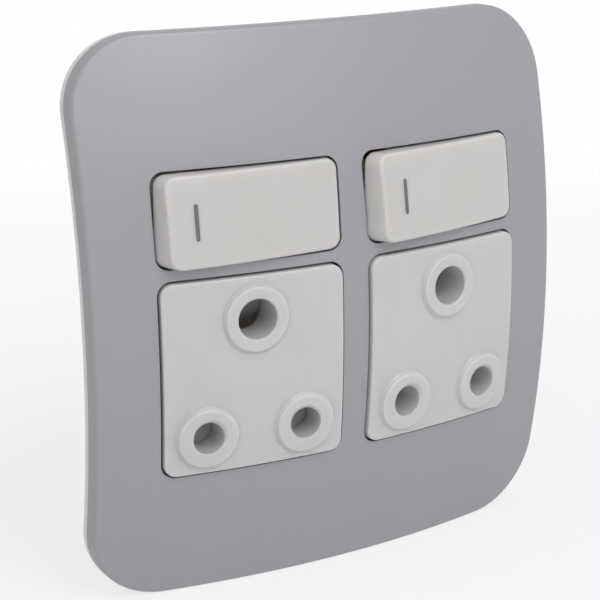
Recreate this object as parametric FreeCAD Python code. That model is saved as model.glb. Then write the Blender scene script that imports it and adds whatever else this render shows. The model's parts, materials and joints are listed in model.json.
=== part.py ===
import FreeCAD, Part
import math
import os

# Round-pin twin switched socket outlet on a domed plate, in millimetres.
# X runs to the right, Y into the wall and Z up; the wall plane is y = 0.
# Each outlet module is drawn about the dome's apex at the origin, with y as the depth behind the apex,
# and is then turned about the dome's centre to its place on the plate.

# Plate and dome
PLATE_WIDTH = 132.6
PLATE_HEIGHT = 139.2
PLATE_CORNER = 18.5
DOME_RADIUS = 244.0
APEX_HEIGHT = 25.0
COVER_SKIN = 1.5
COVER_WALL = 2.2
COVER_EDGE = 4.0
COVER_EDGE_ROUND = 1.2
SEAT_GAP = 0.05

# White frame behind the cover
RIM_LIP = 2.5
RIM_INSET = 0.3
RIM_WIDTH = 10.0
SKIRT_INSET = 6.0
SKIRT_WALL = 2.0
RIB_WALL = 1.5
WEB_THICK = 3.0
RING_WALL = 1.6
RING_GAP = 0.25
FIXING_SPACING = 86.0
FIXING_WIDTH = 4.2
FIXING_LENGTH = 5.4

# Outlet pattern
MODULE_PITCH = 55.0
LINE_NEUTRAL_PITCH = 25.4
EARTH_RISE = 28.6
PIN_LINE_Z = -26.65
LINE_HOLE_RADIUS = 4.0
EARTH_HOLE_RADIUS = 5.0
LINE_COLLAR_RADIUS = 7.65
EARTH_COLLAR_RADIUS = 8.1
COLLAR_RISE = 1.2
COLLAR_ROUND = 0.6
COLLAR_FOOT = 0.6
HOLE_BEVEL = 0.4

# Socket face
FACE_WIDTH = 46.7
FACE_HEIGHT = 48.5
FACE_CENTRE_Z = -11.9
FACE_CORNER = 3.2
FACE_PROUD = 1.1
FACE_SKIN = 2.2
FACE_WALL = 1.6
FACE_ROUND = 0.5
WINDOW_GAP = 0.6

# Rocker
ROCKER_WIDTH = 46.5
ROCKER_HEIGHT = 21.75
ROCKER_CENTRE_Z = 26.98
ROCKER_PROUD = 2.7
ROCKER_SKIN = 2.0
ROCKER_CORNER = 2.8
ROCKER_ROUND = 0.8
ROCKER_GAP = 0.6
ROCKER_SIDE_GAP = 0.6
ROCKER_REAR = 5.4
ROCKER_TILT = 5.0
PIVOT_DEPTH = 9.1
PIVOT_RADIUS = 1.6
PIVOT_GAP = 0.05
PIVOT_LENGTH = 2.1
LUG_HALF = 3.2
STEM_RADIUS = 4.2
STEM_BORE = 2.6
STEM_END = 19.5
RIB_THICK = 1.5
RIB_SETBACK = 1.0

# Plunger and lever
PLUNGER_RADIUS = 2.4
PLUNGER_START = 11.5
PLUNGER_TIP = 25.0
SPRING_REST = 7.5
SPRING_TURNS = 6
SPRING_WIRE = 0.25
LEVER_TILT = 7.5
LEVER_PIVOT_DEPTH = 26.8
LEVER_PIVOT_RADIUS = 1.0
LEVER_THICK = 1.2
LEVER_WIDTH = 8.0
LEVER_LEFT = 9.0
LEVER_RIGHT = 12.5
LEVER_RISE = 0.2
LEVER_INSET = 1.0
CARRIER_WALL = 0.6
PAD_LENGTH = 3.0
CONTACT_GAP = 0.35

# Module body
BODY_WIDTH = 43.0
BODY_BOTTOM = -36.2
BODY_WALL = 1.8
EAR_GAP = 0.4
EAR_THICK = 2.1
EAR_FRONT = 5.9
EAR_HALF = 5.0
FLANGE_FRONT = 8.0
FLANGE_THICK = 1.5
FLANGE_REACH = 2.05
REAR_DEPTH = 37.0
REAR_COVER_THICK = 2.0

# Shutter
TUBE_END = 8.6
SHUTTER_GAP = 0.4
SHUTTER_THICK = 2.0
SHUTTER_TRAVEL = 9.2
SHUTTER_HALF = 17.5
SHUTTER_BOTTOM = -30.8
BLADE_TOP = -19.0
RAMP_LAND = 1.0
RAMP_DEPTH = 4.0
RAMP_HALF = 5.0
ARM_HALF = 8.5
DECK_THICK = 2.0
SHUTTER_SPRING_X = 11.5
SHUTTER_SPRING_RADIUS = 1.2
SHUTTER_SPRING_TURNS = 9
PEG_BOTTOM = 2.5
PEG_HEIGHT = 2.0

# Contacts and screws
LINE_SLEEVE_BORE = 3.65
EARTH_SLEEVE_BORE = 4.45
SLEEVE_WALL = 0.95
LINE_SLEEVE_LENGTH = 7.1
EARTH_SLEEVE_START = 17.5
EARTH_SLEEVE_LENGTH = 11.0
SLIT_WIDTH = 1.0
BLOCK_HALF = 4.0
STRIP_THICK = 1.2
STRIP_LEFT = 16.5
STRIP_RIGHT = 19.0
WIRE_RADIUS = 1.7
SCREW_RADIUS = 1.55
SCREW_GAP = 0.05
SCREW_HEAD_RADIUS = 2.4
SCREW_HEAD_HEIGHT = 1.6
SCREW_LENGTH = 8.0
DRIVER_SLOT = 0.8
POST_RADIUS = 2.0
POST_X = 13.5
POST_Z = 8.0
LOW_POST_Z = -33.2
FREE_FIT = 0.3

# Worked out from the sizes above
V = FreeCAD.Vector
Z_AXIS = V(0, 0, 1)
SPLAY = math.degrees(math.asin(MODULE_PITCH / 2 / DOME_RADIUS))
EARTH_Z = PIN_LINE_Z + EARTH_RISE
PINS = {"neutral": (-LINE_NEUTRAL_PITCH / 2, PIN_LINE_Z), "line": (LINE_NEUTRAL_PITCH / 2, PIN_LINE_Z)}
RAMP_BOTTOM = EARTH_Z + EARTH_HOLE_RADIUS - SHUTTER_TRAVEL
GATE_BOTTOM = EARTH_Z - EARTH_HOLE_RADIUS - SHUTTER_TRAVEL
ROCKER_BOTTOM = ROCKER_CENTRE_Z - ROCKER_HEIGHT / 2
ROCKER_TOP = ROCKER_CENTRE_Z + ROCKER_HEIGHT / 2
LOW_EAR_TOP = ROCKER_BOTTOM - EAR_GAP
LOW_EAR_BOTTOM = LOW_EAR_TOP - EAR_THICK
HIGH_EAR_BOTTOM = ROCKER_TOP + EAR_GAP
BODY_TOP = HIGH_EAR_BOTTOM + EAR_THICK
RAMP_TOP = LOW_EAR_BOTTOM - SHUTTER_TRAVEL - FREE_FIT
FLANGE_REAR = FLANGE_FRONT + FLANGE_THICK
SHUTTER_FRONT = TUBE_END + SHUTTER_GAP
SHUTTER_REAR = SHUTTER_FRONT + SHUTTER_THICK
DECK_FRONT = SHUTTER_REAR + SHUTTER_GAP
DECK_REAR = DECK_FRONT + DECK_THICK
HALF_BODY = BODY_WIDTH / 2
HALF_CAVITY = HALF_BODY - BODY_WALL
LINE_BLOCK_FRONT = DECK_REAR + LINE_SLEEVE_LENGTH
EARTH_BLOCK_FRONT = EARTH_SLEEVE_START + EARTH_SLEEVE_LENGTH
LEVER_REAR = LEVER_PIVOT_DEPTH - LEVER_RISE
LEVER_FRONT = LEVER_REAR - LEVER_THICK
CARRIER_FRONT = LEVER_PIVOT_DEPTH + LEVER_RISE
CARRIER_BACK = CARRIER_FRONT + LEVER_PIVOT_RADIUS + CARRIER_WALL
PAD_FRONT = LEVER_REAR + LEVER_RIGHT * math.tan(math.radians(LEVER_TILT)) + CONTACT_GAP
LINE_TERMINAL_Z = ROCKER_TOP - BLOCK_HALF
SCREW_PLACES = {"neutral": PINS["neutral"], "earth": (0, EARTH_Z), "line": (0, LINE_TERMINAL_Z)}
POSTS = ((-POST_X, POST_Z), (POST_X, POST_Z), (0, LOW_POST_Z))
FIXING_Z = (BODY_TOP + BODY_BOTTOM) / 2
OVERCUT = 1.0
FAR = 100.0
BIG = 400.0


def box(x0, x1, y0, y1, z0, z1):
    return Part.makeBox(x1 - x0, y1 - y0, z1 - z0, V(x0, y0, z0))


def rod_y(radius, x, z, y0, y1):
    return Part.makeCylinder(radius, y1 - y0, V(x, y0, z), V(0, 1, 0))


def rod_z(radius, x, y, z0, z1):
    return Part.makeCylinder(radius, z1 - z0, V(x, y, z0), Z_AXIS)


def rod_x(radius, y, z, x0, x1):
    return Part.makeCylinder(radius, x1 - x0, V(x0, y, z), V(1, 0, 0))


def ball(radius):
    """A ball about the dome's centre, seen from the apex at the origin."""
    return Part.makeSphere(radius, V(0, DOME_RADIUS, 0))


def rounded_prism(width, height, corner, y0, y1, z=0.0):
    """A rectangle with round corners, centred on x = 0 and the given z, run along Y."""
    solid = box(-width / 2, width / 2, y0, y1, z - height / 2, z + height / 2)
    edges = [e for e in solid.Edges if abs(e.tangentAt(e.FirstParameter).y) > 0.99]
    return solid.makeFillet(corner, edges)


def outline(inset, y0, y1):
    """The plate's outline, drawn in by an inset and run along Y."""
    return rounded_prism(PLATE_WIDTH - 2 * inset, PLATE_HEIGHT - 2 * inset, PLATE_CORNER - inset, y0, y1)


def edges_on_ball(solid, radius):
    """Edges that lie on a ball about the dome's centre."""
    centre = V(0, DOME_RADIUS, 0)
    found = []
    for edge in solid.Edges:
        middle = edge.valueAt((edge.FirstParameter + edge.LastParameter) / 2)
        points = [v.Point for v in edge.Vertexes] + [middle]
        if all(abs(p.distanceToPoint(centre) - radius) < 0.01 for p in points):
            found.append(edge)
    return found


def cut_all(solid, tools):
    return solid.cut(Part.makeCompound(tools))


def fuse_all(solids):
    joined = solids[0].multiFuse(solids[1:]) if len(solids) > 1 else solids[0]
    return joined.removeSplitter()


def tilted(shape, degrees, depth):
    """Turned about a vertical pivot at a depth behind the apex."""
    turned = shape.copy()
    turned.rotate(V(0, depth, 0), Z_AXIS, degrees)
    return turned


def coil(radius, wire, length, turns):
    """A round-wire compression spring along +Z from the origin."""
    path = Part.makeHelix((length - 2 * wire) / turns, length - 2 * wire, radius - wire)
    ring = Part.Wire(Part.makeCircle(wire, V(radius - wire, 0, 0), V(0, 1, 0)))
    spring = Part.Wire(path).makePipeShell([ring], True, True)
    spring.translate(V(0, 0, wire))
    return spring


def socket_face():
    """White face with three collared pin tubes, open behind."""
    face_ball = DOME_RADIUS + FACE_PROUD
    block = rounded_prism(FACE_WIDTH, FACE_HEIGHT, FACE_CORNER, -FAR, FLANGE_FRONT, FACE_CENTRE_Z)
    shell = block.common(ball(face_ball))
    shell = shell.makeFillet(FACE_ROUND, edges_on_ball(shell, face_ball))
    hollow = rounded_prism(
        FACE_WIDTH - 2 * FACE_WALL,
        FACE_HEIGHT - 2 * FACE_WALL,
        FACE_CORNER - FACE_WALL,
        -FAR,
        FAR,
        FACE_CENTRE_Z,
    )
    shell = shell.cut(hollow.common(ball(face_ball - FACE_SKIN)))
    holes = [(x, z, LINE_HOLE_RADIUS, LINE_COLLAR_RADIUS) for x, z in PINS.values()]
    holes.append((0, EARTH_Z, EARTH_HOLE_RADIUS, EARTH_COLLAR_RADIUS))
    collars = [collar(outer, x, z) for x, z, bore, outer in holes]
    tubes = [rod_y(bore + FACE_WALL, x, z, -FAR, TUBE_END) for x, z, bore, outer in holes]
    posts = [rod_y(POST_RADIUS, x, z, -FAR, DECK_FRONT) for x, z in POSTS]
    inner = [rod.common(ball(face_ball - FACE_SKIN / 2)) for rod in tubes + posts]
    face = fuse_all([shell] + collars + inner)
    tools = [rod_y(bore, x, z, -FAR, FAR) for x, z, bore, outer in holes]
    tools += [hole_bevel(bore, x, z) for x, z, bore, outer in holes]
    tools += [rod_y(SCREW_RADIUS, x, z, FLANGE_FRONT - FACE_SKIN, FAR) for x, z in POSTS]
    return cut_all(face, tools)


def depth_on_ball(radius, x, z):
    """Depth of a ball about the dome's centre at a place seen from the front."""
    return DOME_RADIUS - math.sqrt(radius * radius - x * x - z * z)


def collar(outer, x, z):
    """Raised collar square to the dome around its hole, with a rounded rim and a sloped foot."""
    face_ball = DOME_RADIUS + FACE_PROUD
    top_ball = face_ball + COLLAR_RISE
    rim_ball = top_ball - COLLAR_ROUND
    rim = outer - COLLAR_ROUND
    rim_height = math.sqrt(rim_ball * rim_ball - rim * rim)
    diagonal = math.sqrt(0.5)
    top = V(rim, 0, rim_height) * (top_ball / rim_ball)
    middle = V(rim + COLLAR_ROUND * diagonal, 0, rim_height + COLLAR_ROUND * diagonal)
    side = V(outer, 0, rim_height)
    wide = outer + COLLAR_FOOT
    foot = V(outer, 0, math.sqrt(face_ball * face_ball - wide * wide) + COLLAR_FOOT)
    root = V(wide + FACE_SKIN / 2, 0, foot.z - COLLAR_FOOT - FACE_SKIN / 2)
    base = V(0, 0, root.z)
    crown = V(0, 0, top_ball)
    half_way = top * 0.5 + crown * 0.5
    half_way = half_way * (top_ball / half_way.Length)
    lines = [
        Part.Arc(crown, half_way, top).toShape(),
        Part.Arc(top, middle, side).toShape(),
        Part.makeLine(side, foot),
        Part.makeLine(foot, root),
        Part.makeLine(root, base),
        Part.makeLine(base, crown),
    ]
    turned = Part.Face(Part.Wire(lines)).revolve(V(0, 0, 0), Z_AXIS, 360)
    outward = V(x, depth_on_ball(face_ball, x, z) - DOME_RADIUS, z)
    turned.Placement = FreeCAD.Placement(V(0, DOME_RADIUS, 0), FreeCAD.Rotation(Z_AXIS, outward))
    return turned


def hole_bevel(bore, x, z):
    """Cone that breaks the edge of a pin hole."""
    depth = depth_on_ball(DOME_RADIUS + FACE_PROUD + COLLAR_RISE, x, z)
    reach = OVERCUT + HOLE_BEVEL
    return Part.makeCone(bore + reach, bore, reach, V(x, depth - OVERCUT, z), V(0, 1, 0))


def rocker_block(radius, inset):
    """The rocker's outer form: ends that keep their gap as it turns, top and bottom flat, front domed."""
    reach = ROCKER_WIDTH / 2 - inset
    surface = reach * reach / 2 / DOME_RADIUS
    radii = []
    for z in (ROCKER_BOTTOM + inset, ROCKER_TOP - inset):
        rise = PIVOT_DEPTH - surface - z * z / 2 / DOME_RADIUS
        radii.append(math.hypot(reach, rise))
    height = ROCKER_HEIGHT - 2 * inset
    drum = Part.makeCone(radii[0], radii[1], height, V(0, PIVOT_DEPTH, ROCKER_BOTTOM + inset), Z_AXIS)
    return drum.common(ball(radius))


def rocker():
    """White rocker with pivot pins, a hollow back, ribs and a bored stem, drawn level and then tilted."""
    front = DOME_RADIUS + ROCKER_PROUD
    block = rocker_block(front, 0).common(box(-BIG, BIG, -BIG, ROCKER_REAR, -BIG, BIG))
    corners = [e for e in block.Edges if is_corner(e)]
    block = block.makeFillet(ROCKER_CORNER, corners)
    block = block.makeFillet(ROCKER_ROUND, edges_on_ball(block, front))
    hollow = rocker_block(front - ROCKER_SKIN, ROCKER_SKIN)
    shell = block.cut(hollow)
    room = rocker_block(front - ROCKER_SKIN / 2, ROCKER_SKIN / 2)
    room = room.common(box(-BIG, BIG, -BIG, ROCKER_REAR - RIB_SETBACK, -BIG, BIG))
    ribs = [
        box(-BIG, BIG, -BIG, BIG, ROCKER_CENTRE_Z - RIB_THICK / 2, ROCKER_CENTRE_Z + RIB_THICK / 2),
        box(-RIB_THICK / 2, RIB_THICK / 2, -BIG, BIG, -BIG, BIG),
    ]
    pieces = [shell] + [rib.common(room) for rib in ribs]
    stem = rod_y(STEM_RADIUS, 0, ROCKER_CENTRE_Z, -FAR, STEM_END)
    pieces.append(stem.common(ball(front - ROCKER_SKIN / 2)))
    lug_rear = PIVOT_DEPTH + PIVOT_RADIUS + FREE_FIT
    for wall in (ROCKER_BOTTOM, ROCKER_TOP - ROCKER_SKIN):
        lug_top = wall + ROCKER_SKIN
        pieces.append(box(-LUG_HALF, LUG_HALF, ROCKER_REAR - RIB_SETBACK, lug_rear, wall, lug_top))
    for pin in (ROCKER_BOTTOM - PIVOT_LENGTH, ROCKER_TOP - ROCKER_SKIN):
        pin_top = pin + PIVOT_LENGTH + ROCKER_SKIN
        pieces.append(rod_z(PIVOT_RADIUS, 0, PIVOT_DEPTH, pin, pin_top))
    solid = fuse_all(pieces)
    spring_room = PLUNGER_START - SPRING_REST
    return solid.cut(rod_y(STEM_BORE, 0, ROCKER_CENTRE_Z, spring_room, FAR))


def is_corner(edge):
    """Level edges between the rocker's flat top or bottom and its round ends."""
    flat = edge.BoundBox.ZLength < 0.001
    at_face = min(abs(edge.BoundBox.ZMin - ROCKER_BOTTOM), abs(edge.BoundBox.ZMin - ROCKER_TOP)) < 0.001
    sideways = abs(edge.BoundBox.XMax + edge.BoundBox.XMin) > ROCKER_WIDTH / 2
    return flat and at_face and sideways


def plunger():
    """Round-nosed plunger in the rocker's stem."""
    body = rod_y(PLUNGER_RADIUS, 0, ROCKER_CENTRE_Z, PLUNGER_START, PLUNGER_TIP - PLUNGER_RADIUS)
    nose = Part.makeSphere(PLUNGER_RADIUS, V(0, PLUNGER_TIP - PLUNGER_RADIUS, ROCKER_CENTRE_Z))
    return fuse_all([body, nose])


def plunger_spring():
    spring = coil(PLUNGER_RADIUS, SPRING_WIRE, SPRING_REST, SPRING_TURNS)
    spring.rotate(V(0, 0, 0), V(1, 0, 0), -90)
    spring.translate(V(0, PLUNGER_START - SPRING_REST, ROCKER_CENTRE_Z))
    return spring


def contact_lever():
    """Brass see-saw lever with a round pivot bead and a contact rivet, drawn level."""
    low = ROCKER_CENTRE_Z - LEVER_WIDTH / 2
    high = ROCKER_CENTRE_Z + LEVER_WIDTH / 2
    strip = box(-LEVER_LEFT, LEVER_RIGHT, LEVER_FRONT, LEVER_REAR, low, high)
    bead = rod_z(LEVER_PIVOT_RADIUS, 0, LEVER_PIVOT_DEPTH, low + LEVER_INSET, high - LEVER_INSET)
    return fuse_all([strip, bead])


def line_terminal():
    """Brass block with a grooved nose under the lever and a screw terminal above it."""
    low = ROCKER_CENTRE_Z - LEVER_WIDTH / 2
    high = LINE_TERMINAL_Z + BLOCK_HALF
    block = box(-BLOCK_HALF, BLOCK_HALF, CARRIER_BACK, REAR_DEPTH, low, high)
    half = LEVER_PIVOT_RADIUS + CARRIER_WALL
    nose_low = low + LEVER_INSET
    nose_high = low + LEVER_WIDTH - LEVER_INSET
    nose = box(-half, half, CARRIER_FRONT, CARRIER_BACK, nose_low, nose_high)
    groove = rod_z(LEVER_PIVOT_RADIUS + PIVOT_GAP, 0, LEVER_PIVOT_DEPTH, low, high)
    return terminal_holes(fuse_all([block, nose]).cut(groove), 0, LINE_TERMINAL_Z, "x")


def terminal_holes(block, x, z, wire_axis):
    """Screw hole from behind with a sunk head, and the cross hole for the wire."""
    head_floor = REAR_DEPTH - SCREW_HEAD_HEIGHT - FREE_FIT
    wire_depth = head_floor - SCREW_LENGTH / 2
    tools = [
        rod_y(SCREW_RADIUS + SCREW_GAP, x, z, wire_depth, REAR_DEPTH + OVERCUT),
        rod_y(SCREW_HEAD_RADIUS + SCREW_GAP, x, z, head_floor, REAR_DEPTH + OVERCUT),
    ]
    if wire_axis == "x":
        tools.append(rod_x(WIRE_RADIUS, wire_depth, z, x - FAR, x + FAR))
    else:
        tools.append(rod_z(WIRE_RADIUS, x, wire_depth, z - FAR, z + FAR))
    return cut_all(block, tools)


def sleeve(bore, x, z, y0, y1):
    """Split brass sleeve for one pin."""
    tube = rod_y(bore + SLEEVE_WALL, x, z, y0, y1).cut(rod_y(bore, x, z, y0 - OVERCUT, y1 + OVERCUT))
    top = z + bore + SLEEVE_WALL + OVERCUT
    slit = box(x - SLIT_WIDTH / 2, x + SLIT_WIDTH / 2, y0 - OVERCUT, y1 - SLEEVE_WALL, z, top)
    return tube.cut(slit)


def neutral_contact():
    x, z = PINS["neutral"]
    tube = sleeve(LINE_SLEEVE_BORE, x, z, DECK_REAR, LINE_BLOCK_FRONT)
    block = box(x - BLOCK_HALF, x + BLOCK_HALF, LINE_BLOCK_FRONT, REAR_DEPTH, z - BLOCK_HALF, z + BLOCK_HALF)
    return terminal_holes(fuse_all([tube, block]), x, z, "z")


def earth_contact():
    tube = sleeve(EARTH_SLEEVE_BORE, 0, EARTH_Z, EARTH_SLEEVE_START, EARTH_BLOCK_FRONT)
    reach = EARTH_SLEEVE_BORE + SLEEVE_WALL
    block = box(-reach, reach, EARTH_BLOCK_FRONT, REAR_DEPTH, EARTH_Z - reach, EARTH_Z + reach)
    return terminal_holes(fuse_all([tube, block]), 0, EARTH_Z, "x")


def live_contact():
    """Line sleeve, its riser and the strip up to the fixed switch contact."""
    x, z = PINS["line"]
    tube = sleeve(LINE_SLEEVE_BORE, x, z, DECK_REAR, LINE_BLOCK_FRONT)
    low = z - BLOCK_HALF
    high = z + BLOCK_HALF
    pad_low = ROCKER_CENTRE_Z - LEVER_WIDTH / 2
    pad_high = ROCKER_CENTRE_Z + LEVER_WIDTH / 2
    strip_rear = PAD_FRONT + STRIP_THICK
    tail = box(x - BLOCK_HALF, STRIP_RIGHT, LINE_BLOCK_FRONT, LINE_BLOCK_FRONT + STRIP_THICK, low, high)
    riser = box(STRIP_RIGHT - STRIP_THICK, STRIP_RIGHT, LINE_BLOCK_FRONT, strip_rear, low, high)
    strip = box(STRIP_LEFT, STRIP_RIGHT, PAD_FRONT, strip_rear, low, pad_high)
    pad = box(LEVER_RIGHT - PAD_LENGTH, STRIP_RIGHT, PAD_FRONT, strip_rear, pad_low, pad_high)
    return fuse_all([tube, tail, riser, strip, pad])


def terminal_screws():
    """Three slotted screws that clamp the wires, driven from behind."""
    screws = []
    head_top = REAR_DEPTH - FREE_FIT
    head_floor = head_top - SCREW_HEAD_HEIGHT
    for x, z in SCREW_PLACES.values():
        head = rod_y(SCREW_HEAD_RADIUS, x, z, head_floor, head_top)
        shank = rod_y(SCREW_RADIUS, x, z, head_floor - SCREW_LENGTH / 2 + WIRE_RADIUS, head_floor)
        slot = box(x - BIG, x + BIG, head_top - DRIVER_SLOT, BIG, z - DRIVER_SLOT / 2, z + DRIVER_SLOT / 2)
        screws.append(fuse_all([head, shank]).cut(slot))
    return Part.makeCompound(screws)


def case_screws():
    """Three long screws from behind that hold rear cover, body and face together."""
    screws = []
    head_floor = REAR_DEPTH + REAR_COVER_THICK - SCREW_HEAD_HEIGHT
    for x, z in POSTS:
        head = rod_y(SCREW_HEAD_RADIUS, x, z, head_floor, head_floor + SCREW_HEAD_HEIGHT)
        shank = rod_y(SCREW_RADIUS - SCREW_GAP, x, z, FLANGE_FRONT, head_floor)
        slot = box(x - BIG, x + BIG, head_floor + DRIVER_SLOT, BIG, z - DRIVER_SLOT / 2, z + DRIVER_SLOT / 2)
        screws.append(fuse_all([head, shank]).cut(slot))
    return Part.makeCompound(screws)


def shutter():
    """Grey sliding plate: one blade over the lower holes, two arms and a ramp over the earth hole."""
    blade = box(-SHUTTER_HALF, SHUTTER_HALF, SHUTTER_FRONT, SHUTTER_REAR, SHUTTER_BOTTOM, BLADE_TOP)
    arms = [
        box(x0, x1, SHUTTER_FRONT, SHUTTER_REAR, BLADE_TOP, RAMP_TOP)
        for x0, x1 in ((-ARM_HALF, -RAMP_HALF), (RAMP_HALF, ARM_HALF))
    ]
    tie = box(-RAMP_HALF, RAMP_HALF, SHUTTER_FRONT, SHUTTER_REAR, BLADE_TOP, GATE_BOTTOM)
    ramp_rear = SHUTTER_FRONT + RAMP_DEPTH
    profile = [
        V(0, SHUTTER_FRONT, RAMP_TOP),
        V(0, SHUTTER_FRONT, RAMP_TOP - RAMP_LAND),
        V(0, ramp_rear, RAMP_BOTTOM),
        V(0, ramp_rear, RAMP_TOP),
        V(0, SHUTTER_FRONT, RAMP_TOP),
    ]
    wedge = Part.Face(Part.makePolygon(profile)).extrude(V(2 * RAMP_HALF, 0, 0))
    wedge.translate(V(-RAMP_HALF, 0, 0))
    return fuse_all([blade, tie, wedge] + arms)


def shutter_springs():
    """Two springs that push the shutter down from pegs on the body."""
    springs = []
    for x in (-SHUTTER_SPRING_X, SHUTTER_SPRING_X):
        spring = coil(SHUTTER_SPRING_RADIUS, SPRING_WIRE, PEG_BOTTOM - BLADE_TOP, SHUTTER_SPRING_TURNS)
        spring.translate(V(x, (SHUTTER_FRONT + SHUTTER_REAR) / 2, BLADE_TOP))
        springs.append(spring)
    return Part.makeCompound(springs)


def module_body():
    """Open-ended body: flange, side walls, deck behind the shutter and ears for the rocker."""
    walls = box(-HALF_BODY, HALF_BODY, FLANGE_FRONT, REAR_DEPTH, BODY_BOTTOM, BODY_TOP)
    walls = walls.cut(box(-HALF_CAVITY, HALF_CAVITY, -BIG, BIG, BODY_BOTTOM + BODY_WALL, HIGH_EAR_BOTTOM))
    reach = HALF_BODY + FLANGE_REACH
    flange = box(-reach, reach, FLANGE_FRONT, FLANGE_REAR, BODY_BOTTOM - FLANGE_REACH, BODY_TOP)
    flange = flange.cut(box(-HALF_CAVITY, HALF_CAVITY, -BIG, BIG, BODY_BOTTOM + BODY_WALL, HIGH_EAR_BOTTOM))
    deck = box(-HALF_CAVITY, HALF_CAVITY, DECK_FRONT, DECK_REAR, BODY_BOTTOM + BODY_WALL, LOW_EAR_TOP)
    partition = box(-HALF_CAVITY, HALF_CAVITY, FLANGE_FRONT, REAR_DEPTH, LOW_EAR_BOTTOM, LOW_EAR_TOP)
    ears = [
        box(-EAR_HALF, EAR_HALF, EAR_FRONT, FLANGE_REAR, LOW_EAR_BOTTOM, LOW_EAR_TOP),
        box(-EAR_HALF, EAR_HALF, EAR_FRONT, FLANGE_REAR, HIGH_EAR_BOTTOM, BODY_TOP),
    ]
    rail = SHUTTER_HALF + SHUTTER_GAP
    rails = [
        box(x0, x1, SHUTTER_FRONT, DECK_FRONT, BODY_BOTTOM + BODY_WALL, LOW_EAR_BOTTOM)
        for x0, x1 in ((-HALF_CAVITY, -rail), (rail, HALF_CAVITY))
    ]
    peg_half = SHUTTER_SPRING_RADIUS + FREE_FIT
    pegs = [
        box(x - peg_half, x + peg_half, SHUTTER_FRONT, DECK_FRONT, PEG_BOTTOM, PEG_BOTTOM + PEG_HEIGHT)
        for x in (-SHUTTER_SPRING_X, SHUTTER_SPRING_X)
    ]
    body = fuse_all([walls, flange, deck, partition] + ears + rails + pegs)
    ramp_side = RAMP_HALF + SHUTTER_GAP
    tools = [rod_z(PIVOT_RADIUS + PIVOT_GAP, 0, PIVOT_DEPTH, LOW_EAR_BOTTOM - OVERCUT, BODY_TOP + OVERCUT)]
    tools += [rod_y(LINE_HOLE_RADIUS + SHUTTER_GAP, x, z, 0, DECK_REAR + OVERCUT) for x, z in PINS.values()]
    tools.append(
        box(-ramp_side, ramp_side, DECK_FRONT - OVERCUT, DECK_REAR + OVERCUT, GATE_BOTTOM, LOW_EAR_BOTTOM)
    )
    screw_hole = SCREW_RADIUS + FREE_FIT
    tools += [rod_y(screw_hole, x, z, DECK_FRONT - OVERCUT, REAR_DEPTH + OVERCUT) for x, z in POSTS]
    tools += [rod_y(POST_RADIUS + FREE_FIT, x, z, 0, DECK_FRONT) for x, z in POSTS]
    tools.append(
        box(
            STRIP_LEFT - FREE_FIT,
            STRIP_RIGHT + FREE_FIT,
            PAD_FRONT - FREE_FIT,
            PAD_FRONT + STRIP_THICK + FREE_FIT,
            LOW_EAR_BOTTOM - OVERCUT,
            LOW_EAR_TOP + OVERCUT,
        )
    )
    tools.append(wire_opening(PINS["neutral"], "z"))
    tools.append(wire_opening((0, EARTH_Z), "x"))
    tools.append(wire_opening((0, LINE_TERMINAL_Z), "x"))
    return cut_all(body, tools)


def wire_opening(place, axis):
    """Round opening in the body's wall in line with a terminal's wire hole."""
    x, z = place
    depth = REAR_DEPTH - SCREW_HEAD_HEIGHT - FREE_FIT - SCREW_LENGTH / 2
    radius = WIRE_RADIUS + 2 * FREE_FIT
    if axis == "x":
        return rod_x(radius, depth, z, -HALF_BODY - OVERCUT, -HALF_CAVITY + OVERCUT)
    return rod_z(radius, x, depth, BODY_BOTTOM - OVERCUT, BODY_BOTTOM + BODY_WALL + OVERCUT)


def rear_cover():
    """Flat cover behind the body, with holes for the terminal screws and sunk case screws."""
    plate = box(-HALF_BODY, HALF_BODY, REAR_DEPTH, REAR_DEPTH + REAR_COVER_THICK, BODY_BOTTOM, BODY_TOP)
    head_floor = REAR_DEPTH + REAR_COVER_THICK - SCREW_HEAD_HEIGHT
    tools = [rod_y(SCREW_HEAD_RADIUS + FREE_FIT, x, z, 0, BIG) for x, z in SCREW_PLACES.values()]
    tools += [rod_y(SCREW_RADIUS + SCREW_GAP, x, z, 0, BIG) for x, z in POSTS]
    tools += [rod_y(SCREW_HEAD_RADIUS + SCREW_GAP, x, z, head_floor, BIG) for x, z in POSTS]
    return cut_all(plate, tools)


def to_plate(shape, side):
    """Turns a module's piece about the dome's centre to its place, then sets the apex off the wall."""
    placed = shape.copy()
    placed.rotate(V(0, DOME_RADIUS, 0), Z_AXIS, side * SPLAY)
    placed.translate(V(0, -APEX_HEIGHT, 0))
    return placed


def cover_plate():
    """Silver domed cover with two windows for each outlet, drawn about the apex."""
    blank = outline(0, -FAR, FAR).common(ball(DOME_RADIUS)).cut(ball(DOME_RADIUS - COVER_EDGE))
    blank = blank.makeFillet(COVER_EDGE_ROUND, edges_on_ball(blank, DOME_RADIUS))
    shell = blank.cut(outline(COVER_WALL, -FAR, FAR).common(ball(DOME_RADIUS - COVER_SKIN)))
    face_window = rounded_prism(
        FACE_WIDTH + 2 * WINDOW_GAP,
        FACE_HEIGHT + 2 * WINDOW_GAP,
        FACE_CORNER + WINDOW_GAP,
        -FAR,
        FAR,
        FACE_CENTRE_Z,
    )
    rocker_window = rounded_prism(
        ROCKER_WIDTH + 2 * ROCKER_SIDE_GAP,
        ROCKER_HEIGHT + 2 * ROCKER_GAP,
        ROCKER_CORNER + ROCKER_GAP,
        -FAR,
        FAR,
        ROCKER_CENTRE_Z,
    )
    windows = []
    for side in (-1, 1):
        for window in (face_window, rocker_window):
            turned = window.copy()
            turned.rotate(V(0, DOME_RADIUS, 0), Z_AXIS, side * SPLAY)
            windows.append(turned)
    shell = cut_all(shell, windows)
    shell.translate(V(0, -APEX_HEIGHT, 0))
    return shell


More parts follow.
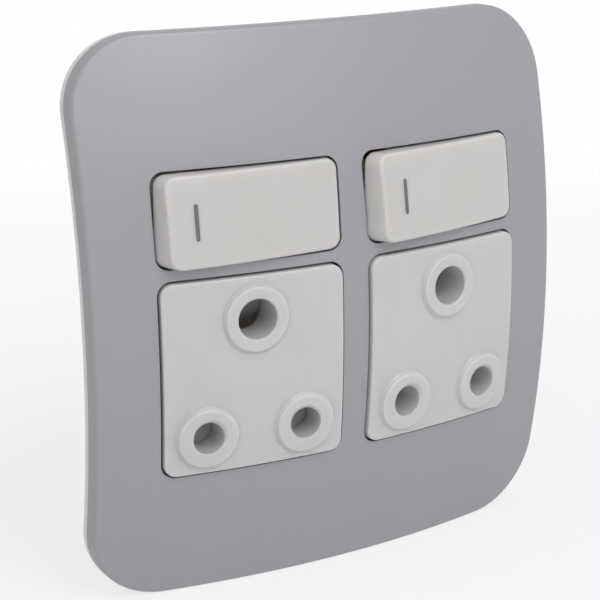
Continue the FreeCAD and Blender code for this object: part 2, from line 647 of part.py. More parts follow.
def back_frame():
    """White frame: domed rim behind the cover, skirt to the wall, web with fixing slots and module rings."""
    rim_ball = DOME_RADIUS - COVER_EDGE - SEAT_GAP
    rim = outline(RIM_INSET, -FAR, FAR).common(ball(rim_ball)).cut(ball(rim_ball - RIM_LIP))
    rim = rim.cut(outline(RIM_WIDTH, -BIG, BIG))
    rib_start = COVER_WALL + FREE_FIT
    rib = outline(rib_start, -FAR, FAR).cut(outline(rib_start + RIB_WALL, -BIG, BIG))
    rib = rib.common(ball(DOME_RADIUS - COVER_SKIN - FREE_FIT)).cut(ball(rim_ball - RIM_LIP / 2))
    skirt = outline(SKIRT_INSET, -FAR, APEX_HEIGHT).cut(outline(SKIRT_INSET + SKIRT_WALL, -BIG, BIG))
    skirt = skirt.common(ball(rim_ball - RIM_LIP / 2))
    web = outline(SKIRT_INSET + SKIRT_WALL / 2, APEX_HEIGHT - WEB_THICK, APEX_HEIGHT)
    inner = (HALF_BODY + RING_GAP, BODY_BOTTOM - RING_GAP, BODY_TOP + RING_GAP)
    rings, openings = [], []
    for side in (-1, 1):
        ring = box(
            -inner[0] - RING_WALL,
            inner[0] + RING_WALL,
            FLANGE_REAR,
            FAR,
            inner[1] - RING_WALL,
            inner[2] + RING_WALL,
        )
        opening = box(-inner[0], inner[0], -FAR, FAR, inner[1], inner[2])
        for shape, group in ((ring, rings), (opening, openings)):
            shape.rotate(V(0, DOME_RADIUS, 0), Z_AXIS, side * SPLAY)
            group.append(shape)
    above_wall = box(-BIG, BIG, -BIG, APEX_HEIGHT, -BIG, BIG)
    rings = [ring.common(above_wall) for ring in rings]
    frame = fuse_all([rim, rib, skirt, web] + rings)
    slots = []
    straight = (FIXING_LENGTH - FIXING_WIDTH) / 2
    for side in (-1, 1):
        z = FIXING_Z + side * FIXING_SPACING / 2
        slots.append(rod_y(FIXING_WIDTH / 2, 0, z - straight, -FAR, FAR))
        slots.append(rod_y(FIXING_WIDTH / 2, 0, z + straight, -FAR, FAR))
        slots.append(box(-FIXING_WIDTH / 2, FIXING_WIDTH / 2, -FAR, FAR, z - straight, z + straight))
    frame = cut_all(frame, openings + slots)
    frame.translate(V(0, -APEX_HEIGHT, 0))
    return frame


MODULE_PIECES = {
    "module_body": module_body(),
    "rear_cover": rear_cover(),
    "socket_face": socket_face(),
    "rocker": tilted(rocker(), ROCKER_TILT, PIVOT_DEPTH),
    "plunger": tilted(plunger(), ROCKER_TILT, PIVOT_DEPTH),
    "plunger_spring": tilted(plunger_spring(), ROCKER_TILT, PIVOT_DEPTH),
    "contact_lever": tilted(contact_lever(), -LEVER_TILT, LEVER_PIVOT_DEPTH),
    "line_terminal": line_terminal(),
    "live_contact": live_contact(),
    "neutral_contact": neutral_contact(),
    "earth_contact": earth_contact(),
    "terminal_screws": terminal_screws(),
    "case_screws": case_screws(),
    "shutter": shutter(),
    "shutter_springs": shutter_springs(),
}

os.makedirs("parts", exist_ok=True)
pieces = {"cover_plate": cover_plate(), "back_frame": back_frame()}
for side, name in ((-1, "left"), (1, "right")):
    for piece, shape in MODULE_PIECES.items():
        pieces[name + "_" + piece] = to_plate(shape, side)
for node, shape in pieces.items():
    shape.exportStep("parts/" + node + ".step")
    print(node, "solids", len(shape.Solids), "valid", shape.isValid(), "volume", round(shape.Volume, 1))
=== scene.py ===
import json
import math

import bmesh
import bpy
from mathutils import Matrix, Vector

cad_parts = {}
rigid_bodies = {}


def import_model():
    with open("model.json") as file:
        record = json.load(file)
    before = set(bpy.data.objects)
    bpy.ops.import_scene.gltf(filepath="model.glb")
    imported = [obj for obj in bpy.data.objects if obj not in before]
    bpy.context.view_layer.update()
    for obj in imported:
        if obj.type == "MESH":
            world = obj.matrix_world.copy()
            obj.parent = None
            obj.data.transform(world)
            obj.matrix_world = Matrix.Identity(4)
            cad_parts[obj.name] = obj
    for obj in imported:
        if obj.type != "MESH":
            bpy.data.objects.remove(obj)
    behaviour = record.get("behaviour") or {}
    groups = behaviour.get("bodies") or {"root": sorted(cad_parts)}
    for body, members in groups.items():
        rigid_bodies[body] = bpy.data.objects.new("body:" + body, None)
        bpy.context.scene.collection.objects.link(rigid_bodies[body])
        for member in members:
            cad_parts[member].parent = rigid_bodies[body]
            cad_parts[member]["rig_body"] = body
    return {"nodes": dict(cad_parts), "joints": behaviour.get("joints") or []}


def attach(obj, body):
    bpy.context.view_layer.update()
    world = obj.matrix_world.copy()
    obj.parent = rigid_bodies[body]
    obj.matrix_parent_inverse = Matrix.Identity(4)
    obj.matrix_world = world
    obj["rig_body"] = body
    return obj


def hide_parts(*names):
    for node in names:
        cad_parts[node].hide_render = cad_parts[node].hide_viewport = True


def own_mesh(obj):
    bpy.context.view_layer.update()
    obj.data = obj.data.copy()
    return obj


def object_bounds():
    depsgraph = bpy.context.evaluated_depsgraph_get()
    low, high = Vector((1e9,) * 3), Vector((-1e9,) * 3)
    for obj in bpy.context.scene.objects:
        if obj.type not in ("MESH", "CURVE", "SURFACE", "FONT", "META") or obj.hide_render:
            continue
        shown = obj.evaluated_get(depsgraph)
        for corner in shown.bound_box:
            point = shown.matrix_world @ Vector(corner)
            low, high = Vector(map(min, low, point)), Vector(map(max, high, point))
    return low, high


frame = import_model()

bl_info = {
    "name": "Round-pin twin switched outlet",
    "version": (1, 0, 0),
    "blender": (4, 5, 0),
    "location": "3D View > Sidebar > Outlet",
    "description": "Finishes, switch marks and studio for a round-pin twin switched outlet",
    "category": "Object",
}

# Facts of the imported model
CAD_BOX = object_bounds()
SIDES = {"left": -1, "right": 1}
MM = 0.001
DOME_RADIUS = 244 * MM
APEX_HEIGHT = 25 * MM
MODULE_PITCH = 55 * MM
SPLAY = math.asin(MODULE_PITCH / 2 / DOME_RADIUS)
ROCKER_CENTRE = 26.98 * MM
ROCKER_TILT = math.radians(5)
PIVOT_DEPTH = 9.1 * MM

# Silver paint, with its slower patterns as multiples of the flake size
DRIFT_SPAN = 90
PEEL_SPAN = 6
FLAKE_STOPS = ((0.52, 0.0), (0.78, 1.0))
FLAKE_SHARE = 0.22
PAINT_METALLIC = 0.22
FLAKE_METALLIC = 0.15
PAINT_ROUGHNESS = 0.46
DRIFT_ROUGHNESS = 0.05
FLAKE_GLOSS = 0.03
PAINT_BUMP = 0.06
PAINT_BUMP_DEPTH = 0.05 * MM
FLAKE_HEIGHT = 0.6
PEEL_HEIGHT = 0.4

# Moulded plastic, with its slower patterns as multiples of the mould grain
FLOW_SPAN = 60
HANDLING_SPAN = 18
FLOW_STOPS = ((0.35, 0.0), (0.7, 1.0))
HANDLING_ROUGHNESS = 0.10
GRAIN_GLOSS = 0.05
PLASTIC_BUMP = 0.10
PLASTIC_BUMP_DEPTH = 0.04 * MM
WHITE_CLEAR = 0.8
SCATTER_COLOUR = (1.0, 0.95, 0.9)
CLOUD_SHADE = 0.965

# Metals and ink
PATCH_SIZE = 3.5 * MM
PATCH_STOPS = ((0.45, 0.0), (0.72, 1.0))
TARNISH_SHARE = 0.5
BRASS_ROUGHNESS = 0.24
TARNISH_ROUGHNESS = 0.2
ROLLED_ROUGHNESS = 0.1
ROLLED_BUMP = 0.15
ROLLED_STRETCH = (40.0, 1.0, 1.0)
ROLLED_SCALE = 60.0
BLOTCH_SIZE = 2.0 * MM
BLOTCH_SHADE = 0.82
STREAK_SCALE = 400.0
STREAK_ROUGHNESS = 0.12
STREAK_BUMP = 0.12
SCREW_STREAK = (1.0, 1.0, 6.0)
WIRE_STREAK = (6.0, 6.0, 1.0)
INK_GRAIN = 0.4 * MM
THIN_INK = 1.35
INK_ROUGHNESS = 0.42
THIN_INK_ROUGHNESS = 0.15
INK_BUMP = 0.1
FINE_BUMP_DEPTH = 0.02 * MM

# Printed dash: rings from its buried edge to its middle, as shares of its width and of its rise
DASH_RINGS = ((1.0, -2.0), (1.0, 0.4), (0.86, 1.0), (0.4, 1.0), (0.05, 1.0))
DASH_ARC_STEPS = 6

# Studio
PURE_WHITE = (1.0, 1.0, 1.0, 1.0)
LIGHT_FROM = (-0.55, -0.78, 0.30)
LIGHT_EDGE = {"From Min": -0.3, "From Max": 0.9}
SHADOW_FADE = {"From Min": 0.10, "From Max": 0.55}
WHITE_NEAR = 0.72
WHITE_FAR = 0.28
FLOOR_SIDES = 96
KEY_FROM = (0.03, -0.72, 0.66)
KEY_DISTANCE = 1.1
KEY_SIZE = 0.7
SENSOR_WIDTH = 36.0
NEAREST_SEEN = 0.01


def colour_property(name, description, default):
    return bpy.props.FloatVectorProperty(
        name=name, description=description, subtype="COLOR", size=4, min=0.0, max=1.0, default=default
    )


def length_property(name, description, default):
    return bpy.props.FloatProperty(
        name=name, description=description, subtype="DISTANCE", unit="LENGTH", min=0.0, default=default
    )


class OutletColours(bpy.types.PropertyGroup):
    """Colours of the outlet's finishes."""

    silver: colour_property("Silver", "Satin paint of the cover plate", (0.360, 0.351, 0.374, 1.0))
    flake: colour_property("Flake", "Lighter flakes in the silver paint", (0.52, 0.465, 0.57, 1.0))
    face_white: colour_property("Face white", "Socket faces", (0.620, 0.607, 0.613, 1.0))
    rocker_white: colour_property("Rocker white", "Rockers", (0.630, 0.617, 0.608, 1.0))
    frame_white: colour_property("Frame white", "Frame behind the cover", (0.74, 0.765, 0.735, 1.0))
    module_white: colour_property("Module white", "Module bodies and rear covers", (0.66, 0.66, 0.64, 1.0))
    shutter_grey: colour_property("Shutter grey", "Sliding shutters", (0.40, 0.42, 0.42, 1.0))
    plunger_grey: colour_property("Plunger grey", "Plungers in the rocker stems", (0.16, 0.16, 0.17, 1.0))
    mark_grey: colour_property("Mark grey", "Printed dash on the rockers", (0.11, 0.12, 0.14, 1.0))
    brass: colour_property("Brass", "Contacts, levers and terminals", (0.70, 0.52, 0.24, 1.0))
    tarnish: colour_property("Tarnish", "Dull patches on the brass", (0.40, 0.27, 0.12, 1.0))
    zinc: colour_property("Zinc", "Plated screws", (0.58, 0.57, 0.53, 1.0))
    spring: colour_property("Spring", "Drawn spring wire", (0.42, 0.42, 0.43, 1.0))
    floor: colour_property("Floor", "Studio floor", (0.90, 0.90, 0.90, 1.0))


class OutletSizes(bpy.types.PropertyGroup):
    """Sizes of the printed marks, of the surface grain and of the light's depth in plastic."""

    mark_length: length_property("Mark length", "Length of the dash on a rocker", 8.7 * MM)
    mark_width: length_property("Mark width", "Width of the dash on a rocker", 1.0 * MM)
    mark_rise: length_property("Mark rise", "How far the dash stands off the rocker", 0.03 * MM)
    mark_offset: length_property("Mark offset", "From the rocker's middle to the dash", 15.5 * MM)
    mark_step: length_property("Mark step", "Spacing of the points along the dash", 0.6 * MM)
    flake_size: length_property("Flake size", "Grain of the silver paint", 0.35 * MM)
    mould_grain: length_property("Mould grain", "Grain of the moulded plastic", 0.30 * MM)
    light_depth: length_property("Light depth", "How deep light goes into the white plastic", 3.4 * MM)


class OutletStudio(bpy.types.PropertyGroup):
    """Camera, lamps and floor."""

    lens: bpy.props.FloatProperty(
        name="Lens", description="Focal length on a 36 mm sensor", subtype="DISTANCE_CAMERA",
        default=102.11,
    )
    camera_place: bpy.props.FloatVectorProperty(
        name="Camera place", description="Where the camera stands", subtype="TRANSLATION", unit="LENGTH",
        default=(-0.2126, -0.36624, 0.11439),
    )
    camera_aim: bpy.props.FloatVectorProperty(
        name="Camera aim", description="Point that the camera looks at", subtype="TRANSLATION", unit="LENGTH",
        default=(-0.01599, -0.025, 0.00480),
    )
    camera_roll: bpy.props.FloatProperty(
        name="Camera roll", description="Turn about the line of sight", subtype="ANGLE", unit="ROTATION",
        default=math.radians(-1.031),
    )
    key_power: bpy.props.FloatProperty(
        name="Key power", description="Power of the large soft lamp", subtype="POWER", unit="POWER",
        default=4.6,
    )
    front_level: bpy.props.FloatProperty(
        name="Front level", description="Level of the soft light from the front", min=0.0,
        default=0.65,
    )
    back_level: bpy.props.FloatProperty(
        name="Back level", description="Level of the soft light from the sides and behind", min=0.0,
        default=0.44,
    )
    floor_reach: length_property("Floor reach", "Radius of the floor", 1.5)


class Value:
    """A node socket of a material; arithmetic on it adds Math nodes."""

    def __init__(self, tree, socket=None):
        self.tree = tree
        self.socket = socket

    def add(self, kind, settings=None, inputs=None, output=0):
        """Adds a node: first its settings, then the values or links of its sockets."""
        node = self.tree.nodes.new(kind)
        for name, setting in (settings or {}).items():
            if name == "stops":
                set_stops(node.color_ramp, setting)
            else:
                setattr(node, name, setting)
        for name, source in (inputs or {}).items():
            if isinstance(source, Value):
                self.tree.links.new(source.socket, node.inputs[name])
            else:
                node.inputs[name].default_value = source
        return Value(self.tree, node.outputs[output] if node.outputs else None)

    def math(self, operation, first, second):
        return self.add("ShaderNodeMath", {"operation": operation}, {0: first, 1: second})

    def __add__(self, other):
        return self.math("ADD", self, other)

    __radd__ = __add__

    def __sub__(self, other):
        return self.math("SUBTRACT", self, other)

    def __rsub__(self, other):
        return self.math("SUBTRACT", other, self)

    def __mul__(self, other):
        return self.math("MULTIPLY", self, other)

    __rmul__ = __mul__


def set_stops(ramp, stops):
    """Gives a colour ramp its stops as pairs of place and grey level."""
    while len(ramp.elements) < len(stops):
        ramp.elements.new(1.0)
    for element, (place, level) in zip(ramp.elements, stops):
        element.position = place
        element.color = (level, level, level, 1.0)


def shaded(colour, factor):
    """A colour made darker or lighter, with its alpha kept."""
    return tuple(min(1.0, part * factor) for part in colour[:3]) + (1.0,)


def new_finish(name):
    """An empty material, with the Value that starts its nodes."""
    material = bpy.data.materials.new(name)
    material.use_nodes = True
    material.node_tree.nodes.clear()
    return material, Value(material.node_tree)


def place_on(start):
    """Place on the piece, in metres."""
    return start.add("ShaderNodeTexCoord", output="Object")


def grain(start, size, detail=2.0, roughness=0.5):
    """Soft noise with features of about the given size in metres."""
    return start.add(
        "ShaderNodeTexNoise",
        inputs={"Vector": place_on(start), "Scale": 1.0 / size, "Detail": detail, "Roughness": roughness},
    )


def mixed(start, factor, first, second):
    """Colour between two others, each a plain colour or one that comes from nodes."""
    ends = [colour if isinstance(colour, Value) else tuple(colour) for colour in (first, second)]
    return start.add("ShaderNodeMix", {"data_type": "RGBA"}, {0: factor, 6: ends[0], 7: ends[1]}, 2)


def ramp(start, factor, stops):
    """Grey level that follows a value through stops."""
    return start.add("ShaderNodeValToRGB", {"stops": stops}, {"Fac": factor})


def bump(start, height, strength, distance):
    """Fine relief from a height."""
    return start.add("ShaderNodeBump", inputs={"Height": height, "Strength": strength, "Distance": distance})


def surface(start, inputs):
    """Closes a material with its shader and output."""
    shader = start.add("ShaderNodeBsdfPrincipled", inputs=inputs)
    start.add("ShaderNodeOutputMaterial", inputs={"Surface": shader})


def silver_paint():
    """Satin metallic paint: fine flakes under a slightly uneven lacquer."""
    colours = bpy.context.scene.outlet_colours
    sizes = bpy.context.scene.outlet_sizes
    material, start = new_finish("silver_paint")
    flakes = grain(start, sizes.flake_size, detail=3.0, roughness=0.7)
    drift = grain(start, DRIFT_SPAN * sizes.flake_size)
    sparkle = ramp(start, flakes, FLAKE_STOPS)
    base = mixed(start, drift, colours.silver, shaded(colours.silver, CLOUD_SHADE))
    peel = grain(start, PEEL_SPAN * sizes.flake_size, detail=1.0)
    surface(start, {
        "Base Color": mixed(start, sparkle * FLAKE_SHARE, base, colours.flake),
        "Metallic": PAINT_METALLIC + sparkle * FLAKE_METALLIC,
        "Roughness": PAINT_ROUGHNESS + drift * DRIFT_ROUGHNESS - sparkle * FLAKE_GLOSS,
        "Normal": bump(start, flakes * FLAKE_HEIGHT + peel * PEEL_HEIGHT, PAINT_BUMP, PAINT_BUMP_DEPTH),
    })
    return material


def moulded_plastic(name, colour, roughness, warm=1.0, clear=0.0):
    """Moulded plastic: sparked grain, faint flow clouds, uneven gloss, and depth to light if clear."""
    sizes = bpy.context.scene.outlet_sizes
    material, start = new_finish(name)
    fine = grain(start, sizes.mould_grain, detail=3.0, roughness=0.6)
    flow = ramp(start, grain(start, FLOW_SPAN * sizes.mould_grain, detail=3.0), FLOW_STOPS)
    handling = grain(start, HANDLING_SPAN * sizes.mould_grain, detail=4.0, roughness=0.65)
    cloud = shaded((colour[0], colour[1], colour[2] * warm), CLOUD_SHADE)
    surface(start, {
        "Base Color": mixed(start, flow, colour, cloud),
        "Roughness": roughness + handling * HANDLING_ROUGHNESS - fine * GRAIN_GLOSS,
        "Subsurface Weight": clear,
        "Subsurface Radius": SCATTER_COLOUR,
        "Subsurface Scale": sizes.light_depth,
        "Normal": bump(start, fine, PLASTIC_BUMP, PLASTIC_BUMP_DEPTH),
    })
    return material


def worked_brass():
    """Pressed brass with dull patches."""
    colours = bpy.context.scene.outlet_colours
    material, start = new_finish("worked_brass")
    patches = ramp(start, grain(start, PATCH_SIZE, detail=5.0, roughness=0.65), PATCH_STOPS)
    rolled = streaks(start, ROLLED_STRETCH, ROLLED_SCALE, detail=4.0)
    surface(start, {
        "Base Color": mixed(start, patches * TARNISH_SHARE, colours.brass, colours.tarnish),
        "Metallic": 1.0,
        "Roughness": BRASS_ROUGHNESS + patches * TARNISH_ROUGHNESS + rolled * ROLLED_ROUGHNESS,
        "Normal": bump(start, rolled, ROLLED_BUMP, FINE_BUMP_DEPTH),
    })
    return material


def streaks(start, stretch, scale, detail):
    """Noise stretched along the piece, for drawn or rolled marks."""
    place = start.add("ShaderNodeVectorMath", {"operation": "MULTIPLY"}, {0: place_on(start), 1: stretch})
    return start.add("ShaderNodeTexNoise", inputs={"Vector": place, "Scale": scale, "Detail": detail})


def drawn_metal(name, colour, roughness, stretch):
    """Plated or drawn steel with fine streaks."""
    material, start = new_finish(name)
    drawn = streaks(start, stretch, STREAK_SCALE, detail=3.0)
    blotch = grain(start, BLOTCH_SIZE, detail=3.0)
    surface(start, {
        "Base Color": mixed(start, blotch, colour, shaded(colour, BLOTCH_SHADE)),
        "Metallic": 1.0,
        "Roughness": roughness + drawn * STREAK_ROUGHNESS,
        "Normal": bump(start, drawn, STREAK_BUMP, FINE_BUMP_DEPTH),
    })
    return material


def printed_ink():
    """Matt grey ink with a slightly thin, grainy print."""
    colours = bpy.context.scene.outlet_colours
    material, start = new_finish("printed_ink")
    thin = grain(start, INK_GRAIN, detail=3.0)
    surface(start, {
        "Base Color": mixed(start, thin, colours.mark_grey, shaded(colours.mark_grey, THIN_INK)),
        "Roughness": INK_ROUGHNESS + thin * THIN_INK_ROUGHNESS,
        "Normal": bump(start, thin, INK_BUMP, FINE_BUMP_DEPTH),
    })
    return material


def dress(material, names):
    """Gives CAD nodes a finish in all their material slots."""
    for name in names:
        mesh = frame["nodes"][name].data
        if not mesh.materials:
            mesh.materials.append(material)
        for index in range(len(mesh.materials)):
            mesh.materials[index] = material


def both(*pieces):
    """Names of the same pieces in the left and the right outlet."""
    return [side + "_" + piece for side in SIDES for piece in pieces]


class OUTLET_OT_cover(bpy.types.Operator):
    """Paints the domed cover plate in satin silver"""

    bl_idname = "outlet.cover"
    bl_label = "Cover plate"

    def execute(self, context):
        dress(silver_paint(), ["cover_plate"])
        return {"FINISHED"}


class OUTLET_OT_frame(bpy.types.Operator):
    """Finishes the white frame behind the cover"""

    bl_idname = "outlet.frame"
    bl_label = "Frame"

    def execute(self, context):
        colours = context.scene.outlet_colours
        white = moulded_plastic(
            "frame_plastic", colours.frame_white, roughness=0.40, warm=0.98, clear=WHITE_CLEAR
        )
        dress(white, ["back_frame"])
        return {"FINISHED"}


class OUTLET_OT_faces(bpy.types.Operator):
    """Finishes the two socket faces and the two rockers in satin white"""

    bl_idname = "outlet.faces"
    bl_label = "Faces and rockers"

    def execute(self, context):
        colours = context.scene.outlet_colours
        face = moulded_plastic(
            "face_plastic", colours.face_white, roughness=0.36, warm=0.99, clear=WHITE_CLEAR
        )
        rocker = moulded_plastic(
            "rocker_plastic", colours.rocker_white, roughness=0.34, warm=0.99, clear=WHITE_CLEAR
        )
        dress(face, both("socket_face"))
        dress(rocker, both("rocker"))
        return {"FINISHED"}


class OUTLET_OT_modules(bpy.types.Operator):
    """Finishes the module bodies, rear covers, shutters and plungers"""

    bl_idname = "outlet.modules"
    bl_label = "Modules and shutters"

    def execute(self, context):
        colours = context.scene.outlet_colours
        module = moulded_plastic("module_plastic", colours.module_white, roughness=0.48, clear=WHITE_CLEAR)
        dress(module, both("module_body", "rear_cover"))
        dress(moulded_plastic("shutter_plastic", colours.shutter_grey, roughness=0.45), both("shutter"))
        dress(moulded_plastic("plunger_plastic", colours.plunger_grey, roughness=0.40), both("plunger"))
        return {"FINISHED"}


class OUTLET_OT_metalwork(bpy.types.Operator):
    """Finishes the brass contacts and the screws"""

    bl_idname = "outlet.metalwork"
    bl_label = "Metalwork"

    def execute(self, context):
        colours = context.scene.outlet_colours
        brass = ("contact_lever", "line_terminal", "live_contact", "neutral_contact", "earth_contact")
        dress(worked_brass(), both(*brass))
        zinc = drawn_metal("zinc_plate", colours.zinc, roughness=0.28, stretch=SCREW_STREAK)
        dress(zinc, both("terminal_screws", "case_screws"))
        return {"FINISHED"}


class OUTLET_OT_springs(bpy.types.Operator):
    """Finishes the springs in drawn wire and puts copies of them on their bodies"""

    bl_idname = "outlet.springs"
    bl_label = "Springs"

    def execute(self, context):
        colours = context.scene.outlet_colours
        wire = drawn_metal("spring_wire", colours.spring, roughness=0.22, stretch=WIRE_STREAK)
        for joint in frame["joints"]:
            for deforming in joint.get("deforming_nodes", ()):
                dress(wire, [deforming["node"]])
                shortening_spring(deforming["node"])
        return {"FINISHED"}


def shortening_spring(node):
    """A copy of the spring on the spring's own body, with the CAD spring hidden."""
    spring = bpy.data.objects.new(node + "_wire", frame["nodes"][node].data.copy())
    bpy.context.collection.objects.link(spring)
    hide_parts(node)
    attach(spring, frame["nodes"][node]["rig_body"])
    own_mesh(spring)


def rocker_place(side):
    """Matrix from a rocker drawn level about the dome's apex to its place on the plate."""
    pivot = Matrix.Translation((0, PIVOT_DEPTH, 0))
    tilt = pivot @ Matrix.Rotation(ROCKER_TILT, 4, "Z") @ pivot.inverted()
    dome = Matrix.Translation((0, DOME_RADIUS, 0))
    turn = dome @ Matrix.Rotation(side * SPLAY, 4, "Z") @ dome.inverted()
    return Matrix.Translation((0, -APEX_HEIGHT, 0)) @ turn @ tilt


def dash_outline(length, width, step):
    """Outline of an upright dash with round ends, as pairs of sideways and upward offsets."""
    radius = width / 2
    straight = length / 2 - radius
    side_steps = max(1, round(2 * straight / step))
    points = []
    for end in (1, -1):
        for index in range(DASH_ARC_STEPS + 1):
            angle = math.pi * index / DASH_ARC_STEPS
            points.append((end * radius * math.cos(angle), end * (straight + radius * math.sin(angle))))
        for index in range(1, side_steps):
            points.append((-end * radius, end * straight * (1 - 2 * index / side_steps)))
    return points


class OUTLET_OT_marks(bpy.types.Operator):
    """Prints the upright dash on each rocker"""

    bl_idname = "outlet.marks"
    bl_label = "Rocker marks"

    def execute(self, context):
        sizes = context.scene.outlet_sizes
        ink = printed_ink()
        for name, side in SIDES.items():
            mark = printed_dash(name, side, sizes)
            mark.data.materials.append(ink)
            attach(mark, name + "_rocker")
        return {"FINISHED"}


def printed_dash(name, side, sizes):
    """A thin dash laid on a rocker's domed face, point by point."""
    rocker = frame["nodes"][name + "_rocker"]
    place = rocker_place(side)
    inward = (place.to_3x3() @ Vector((0, 1, 0))).normalized()
    rings = []
    for share, rise in DASH_RINGS:
        width = share * sizes.mark_width
        length = sizes.mark_length - sizes.mark_width + width
        ring = []
        for across, up in dash_outline(length, width, sizes.mark_step):
            start = place @ Vector((across - sizes.mark_offset, -DOME_RADIUS / 4, ROCKER_CENTRE + up))
            hit, point = rocker.ray_cast(start, inward)[:2]
            if not hit:
                raise RuntimeError("the dash doesn't lie on " + name + "_rocker")
            ring.append(point - inward * rise * sizes.mark_rise)
        rings.append(ring)
    return lofted(name + "_mark", rings)


def lofted(name, rings):
    """A closed mesh from rings of points, capped at both ends."""
    mesh = bmesh.new()
    rows = [[mesh.verts.new(point) for point in ring] for ring in rings]
    for lower, upper in zip(rows[:-1], rows[1:]):
        for index in range(len(lower)):
            following = (index + 1) % len(lower)
            mesh.faces.new((lower[index], lower[following], upper[following], upper[index]))
    mesh.faces.new(tuple(reversed(rows[0])))
    mesh.faces.new(tuple(rows[-1]))
    bmesh.ops.recalc_face_normals(mesh, faces=mesh.faces)
    for face in mesh.faces:
        face.smooth = True
    data = bpy.data.meshes.new(name)
    mesh.to_mesh(data)
    mesh.free()
    piece = bpy.data.objects.new(name, data)
    bpy.context.collection.objects.link(piece)
    return piece


def seen_rays(start):
    """One for rays that see the background itself: from the camera, off gloss or through glass."""
    camera, gloss, glass = [
        start.add("ShaderNodeLightPath", output=name)
        for name in ("Is Camera Ray", "Is Glossy Ray", "Is Transmission Ray")
    ]
    return start.add("ShaderNodeClamp", inputs={"Value": camera + gloss + glass})


def between(start, value, ends):
    """A share from 0 to 1 as a value passes from one end to the other."""
    return start.add("ShaderNodeMapRange", {"clamp": True}, {"Value": value, **ends})


def white_world(front_level, back_level):
    """Soft studio light, brighter from the front, with a white background behind the outlet."""
    world = bpy.data.worlds.new("studio")
    world.use_nodes = True
    world.node_tree.nodes.clear()
    start = Value(world.node_tree)
    direction = start.add("ShaderNodeTexCoord", output="Generated")
    towards = start.add(
        "ShaderNodeVectorMath", {"operation": "DOT_PRODUCT"}, {0: direction, 1: LIGHT_FROM}, "Value"
    )
    facing = between(start, towards, LIGHT_EDGE)
    behind, ahead, white = [
        start.add("ShaderNodeBackground", inputs={"Color": PURE_WHITE, "Strength": level})
        for level in (back_level, front_level, 1.0)
    ]
    light = start.add("ShaderNodeMixShader", inputs={0: facing, 1: behind, 2: ahead})
    both_ways = start.add("ShaderNodeMixShader", inputs={0: seen_rays(start), 1: light, 2: white})
    start.add("ShaderNodeOutputWorld", inputs={"Surface": both_ways})
    return world


def pale_floor(colour):
    """Pale floor that takes the outlet's shadow and fades into the white background."""
    material, start = new_finish("pale_floor")
    near = start.add("ShaderNodeVectorMath", {"operation": "LENGTH"}, {0: place_on(start)}, "Value")
    share = WHITE_NEAR + WHITE_FAR * between(start, near, SHADOW_FADE)
    paper = start.add("ShaderNodeBsdfDiffuse", inputs={"Color": tuple(colour)})
    white = start.add("ShaderNodeEmission", inputs={"Color": PURE_WHITE, "Strength": 1.0})
    lit = start.add("ShaderNodeMixShader", inputs={0: seen_rays(start) * share, 1: paper, 2: white})
    start.add("ShaderNodeOutputMaterial", inputs={"Surface": lit})
    return material


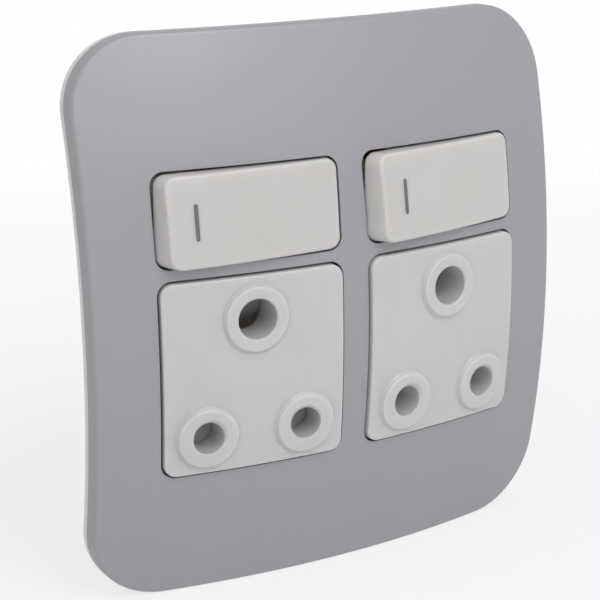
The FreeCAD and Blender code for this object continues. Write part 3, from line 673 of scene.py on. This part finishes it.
class OUTLET_OT_stage(bpy.types.Operator):
    """Sets the floor, the soft light and the camera"""

    bl_idname = "outlet.stage"
    bl_label = "Studio"

    def execute(self, context):
        studio = context.scene.outlet_studio
        bpy.ops.mesh.primitive_circle_add(
            vertices=FLOOR_SIDES, radius=studio.floor_reach, fill_type="NGON", location=(0, 0, CAD_BOX[0][2])
        )
        floor = context.active_object
        floor.name = "studio_floor"
        floor.data.materials.append(pale_floor(context.scene.outlet_colours.floor))
        context.scene.world = white_world(studio.front_level, studio.back_level)
        key = bpy.data.lights.new("soft_key", "AREA")
        key.shape = "DISK"
        key.size = KEY_SIZE
        key.energy = studio.key_power
        lamp = bpy.data.objects.new("soft_key", key)
        lamp.location = Vector(KEY_FROM) * KEY_DISTANCE
        lamp.rotation_euler = (-lamp.location).to_track_quat("-Z", "Y").to_euler()
        context.collection.objects.link(lamp)
        camera = bpy.data.objects.new("camera", bpy.data.cameras.new("camera"))
        camera.data.lens = studio.lens
        camera.data.sensor_width = SENSOR_WIDTH
        camera.data.clip_start = NEAREST_SEEN
        camera.data.dof.use_dof = False
        place = Vector(studio.camera_place)
        aim = Vector(studio.camera_aim)
        turn = (aim - place).to_track_quat("-Z", "Y").to_matrix().to_4x4()
        roll = Matrix.Rotation(studio.camera_roll, 4, "Z")
        camera.matrix_world = Matrix.Translation(place) @ turn @ roll
        context.collection.objects.link(camera)
        context.scene.camera = camera
        context.scene.view_settings.view_transform = "Standard"
        return {"FINISHED"}


OPERATORS = (
    OUTLET_OT_cover,
    OUTLET_OT_frame,
    OUTLET_OT_faces,
    OUTLET_OT_modules,
    OUTLET_OT_metalwork,
    OUTLET_OT_springs,
    OUTLET_OT_marks,
    OUTLET_OT_stage,
)


class OUTLET_PT_panel(bpy.types.Panel):
    """Lists the outlet's steps and values"""

    bl_idname = "OUTLET_PT_panel"
    bl_label = "Twin outlet"
    bl_space_type = "VIEW_3D"
    bl_region_type = "UI"
    bl_category = "Outlet"

    def draw(self, context):
        for operator in OPERATORS:
            self.layout.operator(operator.bl_idname)
        for group in (context.scene.outlet_colours, context.scene.outlet_sizes, context.scene.outlet_studio):
            column = self.layout.column()
            for name in group.bl_rna.properties.keys():
                if name not in ("rna_type", "name"):
                    column.prop(group, name)


GROUPS = {"outlet_colours": OutletColours, "outlet_sizes": OutletSizes, "outlet_studio": OutletStudio}


def register():
    for group in GROUPS.values():
        bpy.utils.register_class(group)
    for name, group in GROUPS.items():
        setattr(bpy.types.Scene, name, bpy.props.PointerProperty(type=group))
    for operator in OPERATORS:
        bpy.utils.register_class(operator)
    bpy.utils.register_class(OUTLET_PT_panel)


def unregister():
    bpy.utils.unregister_class(OUTLET_PT_panel)
    for operator in reversed(OPERATORS):
        bpy.utils.unregister_class(operator)
    for name, group in GROUPS.items():
        delattr(bpy.types.Scene, name)
        bpy.utils.unregister_class(group)


def main():
    """Dresses the outlet step by step."""
    register()
    for operator in OPERATORS:
        group, name = operator.bl_idname.split(".")
        getattr(getattr(bpy.ops, group), name)()


if __name__ == "__main__":
    main()
